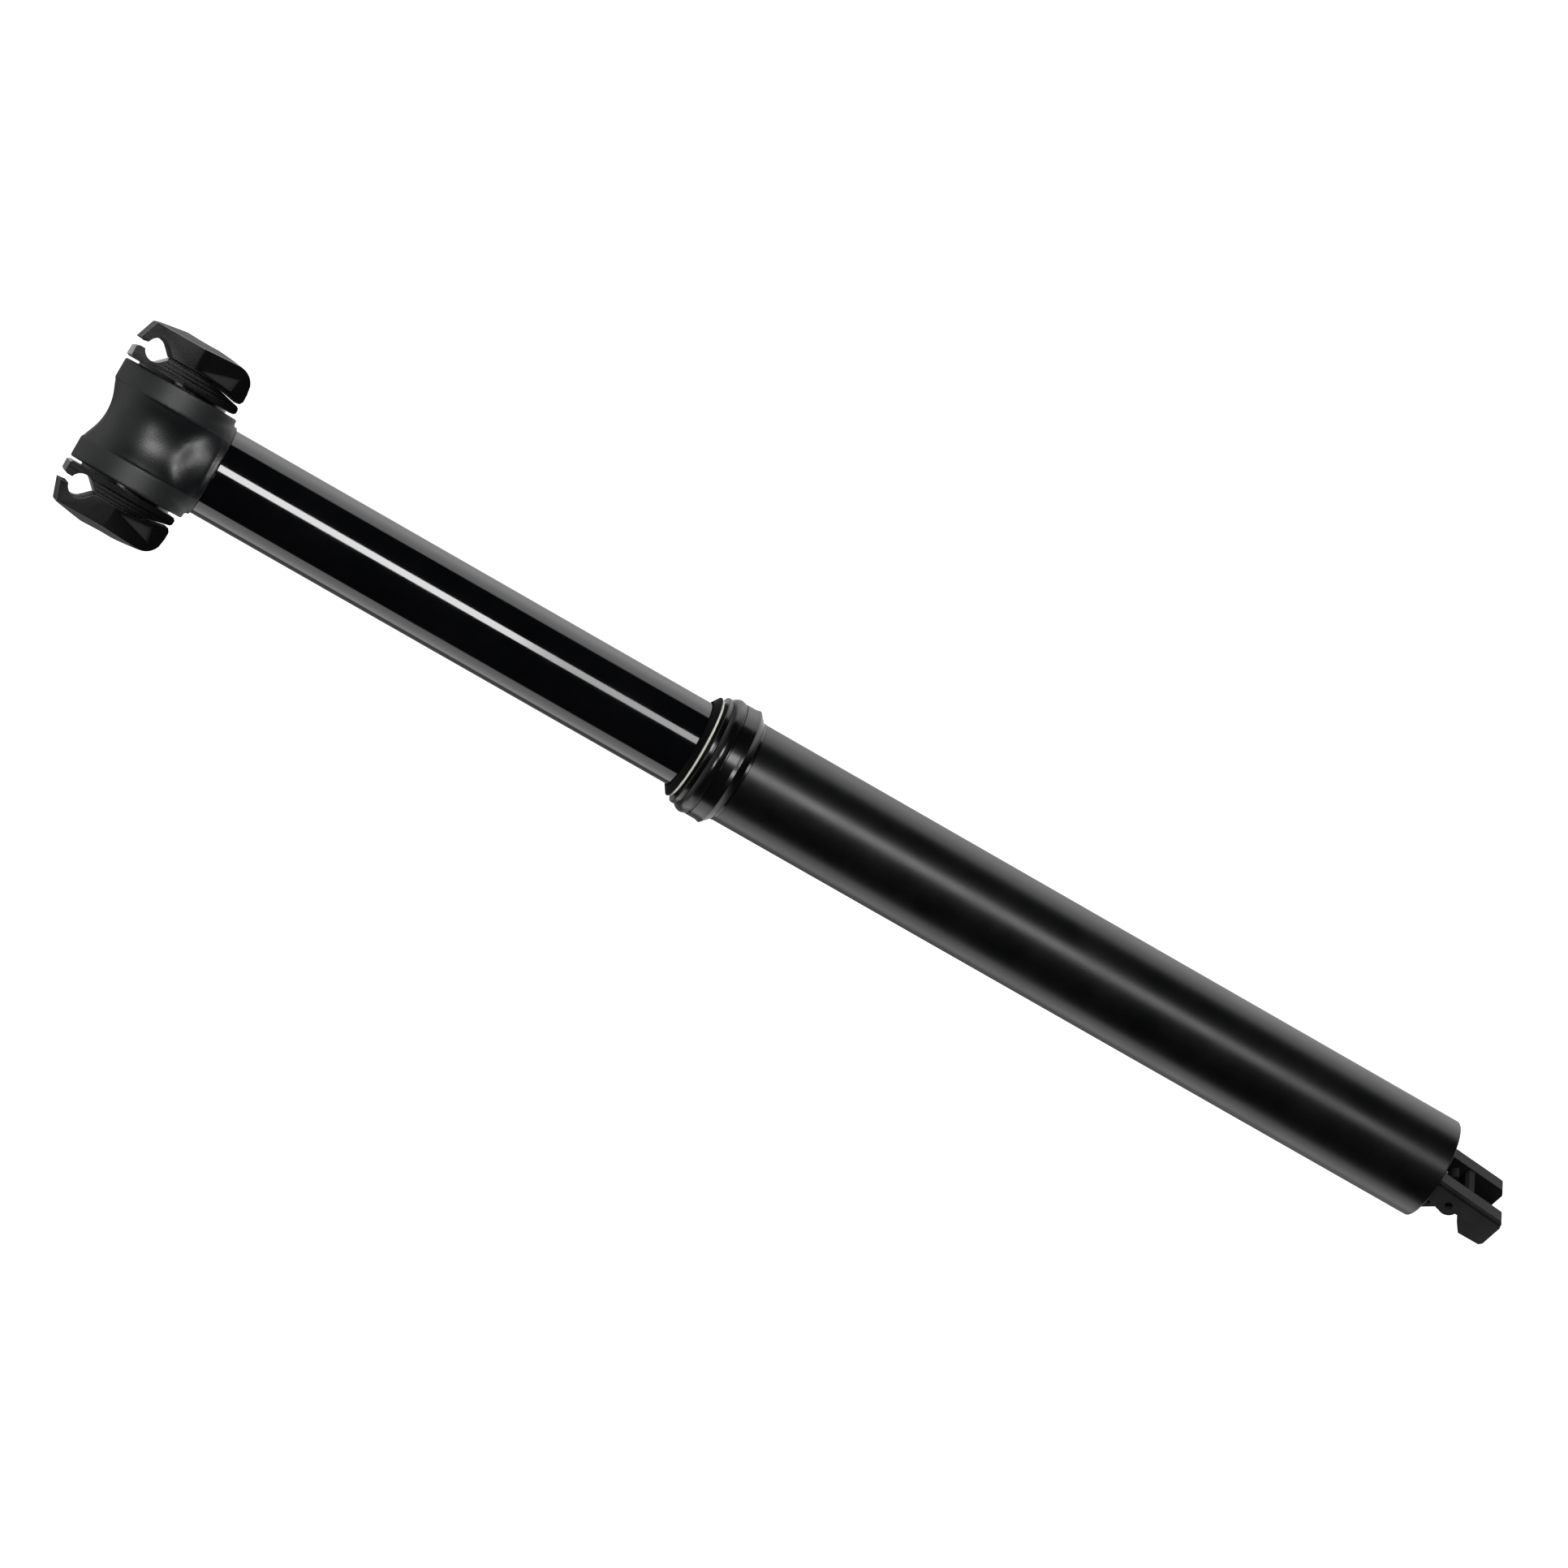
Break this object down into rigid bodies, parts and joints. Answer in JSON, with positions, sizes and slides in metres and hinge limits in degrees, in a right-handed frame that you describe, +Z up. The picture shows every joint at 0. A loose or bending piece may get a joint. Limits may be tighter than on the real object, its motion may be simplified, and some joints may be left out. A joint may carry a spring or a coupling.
{
  "type": "dropper seatpost",
  "caption": "Telescoping bicycle seatpost with a two-rail saddle clamp, a sealed gas cartridge and a cable-pulled cam lever at its foot.",
  "frame": {"origin": "on the post's axis, where the lower tube's top end meets the seal collar's shoulder, which is the frame's seat tube top at full insertion", "axes": "+Z up the post to the head, +X forward along the saddle rails, +Y to the rider's left along the clamp bolt"},
  "size_m": [0.038, 0.0616, 0.4751],
  "materials": {
    "anodised_gloss": "gloss black anodised",
    "anodised_satin": "satin black anodised",
    "forged_satin": "blasted satin black",
    "clamp_black": "forged and anodised black",
    "actuator_grey": "matte dark grey casting",
    "seal_rubber": "moulded",
    "spring_steel": "drawn wire",
    "bolt_steel": "blackened",
    "key_brass": "ground",
    "bush_polymer": "moulded",
    "cartridge_alloy": "turned"
  },
  "bodies": {
    "outer_assembly": {"outer_tube": "anodised_satin", "seal_collar": "anodised_satin", "wiper_seal": "seal_rubber", "wiper_spring": "spring_steel", "upper_bush_front": "bush_polymer", "upper_bush_rear": "bush_polymer", "foot_plug": "cartridge_alloy", "foot_seal": "seal_rubber", "cartridge_rod": "cartridge_alloy", "rod_piston": "cartridge_alloy", "rod_piston_seal": "seal_rubber", "rod_bumper": "seal_rubber", "rod_nut": "bolt_steel", "actuator_body": "actuator_grey", "pivot_pin": "bolt_steel"},
    "upper_post": {"stanchion": "anodised_gloss", "key_pins": "key_brass", "lower_bush": "bush_polymer", "bush_ring": "spring_steel", "head": "forged_satin", "cartridge_cylinder": "cartridge_alloy", "cartridge_gland": "cartridge_alloy", "gland_seal": "seal_rubber", "cartridge_cap": "cartridge_alloy", "cartridge_retainer": "cartridge_alloy"},
    "floating_piston": {"floating_piston": "cartridge_alloy", "floating_piston_seal": "seal_rubber"},
    "cam_lever": {"cam_lever": "actuator_grey"},
    "valve_pin": {"valve_pin": "bolt_steel"},
    "saddle_cradle": {"inner_clamp_left": "clamp_black", "inner_clamp_right": "clamp_black"},
    "left_clamp": {"outer_clamp_left": "clamp_black"},
    "clamp_bolt": {"clamp_bolt": "bolt_steel", "bolt_washer": "bolt_steel"},
    "right_clamp": {"outer_clamp_right": "clamp_black", "clamp_nut": "bolt_steel"}
  },
  "joints": [
    {"name": "post_drop", "type": "slide", "parent": "outer_assembly", "child": "upper_post", "axis": [0, 0, -1], "range_m": [0, 0.15], "stiffness_N_per_m": 150, "springref_m": -0.2},
    {"name": "floating_piston_slide", "type": "slide", "parent": "upper_post", "child": "floating_piston", "axis": [0, 0, 1], "range_m": [0, 0.0297]},
    {"name": "cam_lever_pivot", "type": "hinge", "parent": "outer_assembly", "child": "cam_lever", "pos_m": [-0.00099, -0.00185, -0.2459], "axis": [0.8829, -0.4695, 0], "range_deg": [0, 40]},
    {"name": "valve_pin_slide", "type": "slide", "parent": "outer_assembly", "child": "valve_pin", "axis": [0, 0, 1], "range_m": [0, 0.0014], "stiffness_N_per_m": 300, "springref_m": -0.0015},
    {"name": "saddle_tilt", "type": "hinge", "parent": "upper_post", "child": "saddle_cradle", "pos_m": [0, 0, 0.1943], "axis": [0, 1, 0], "range_deg": [-18, 18]},
    {"name": "left_clamp_slide", "type": "slide", "parent": "saddle_cradle", "child": "left_clamp", "axis": [0, 1, 0], "range_m": [0, 0.0032]},
    {"name": "clamp_bolt_turn", "type": "hinge", "parent": "left_clamp", "child": "clamp_bolt", "pos_m": [0, 0.0254, 0.1943], "axis": [0, 1, 0], "range_deg": [0, 1800]},
    {"name": "right_clamp_slide", "type": "slide", "parent": "saddle_cradle", "child": "right_clamp", "axis": [0, -1, 0], "range_m": [0, 0.0032]}
  ],
  "couplings": [
    {"joint": "floating_piston_slide", "follows": "post_drop", "ratio": 0.19753},
    {"joint": "cam_lever_pivot", "follows": "valve_pin_slide", "rad_per_m": 476.19},
    {"joint": "left_clamp_slide", "follows": "clamp_bolt_turn", "m_per_rad": 0.000099472},
    {"joint": "right_clamp_slide", "follows": "clamp_bolt_turn", "m_per_rad": 0.000099472}
  ]
}
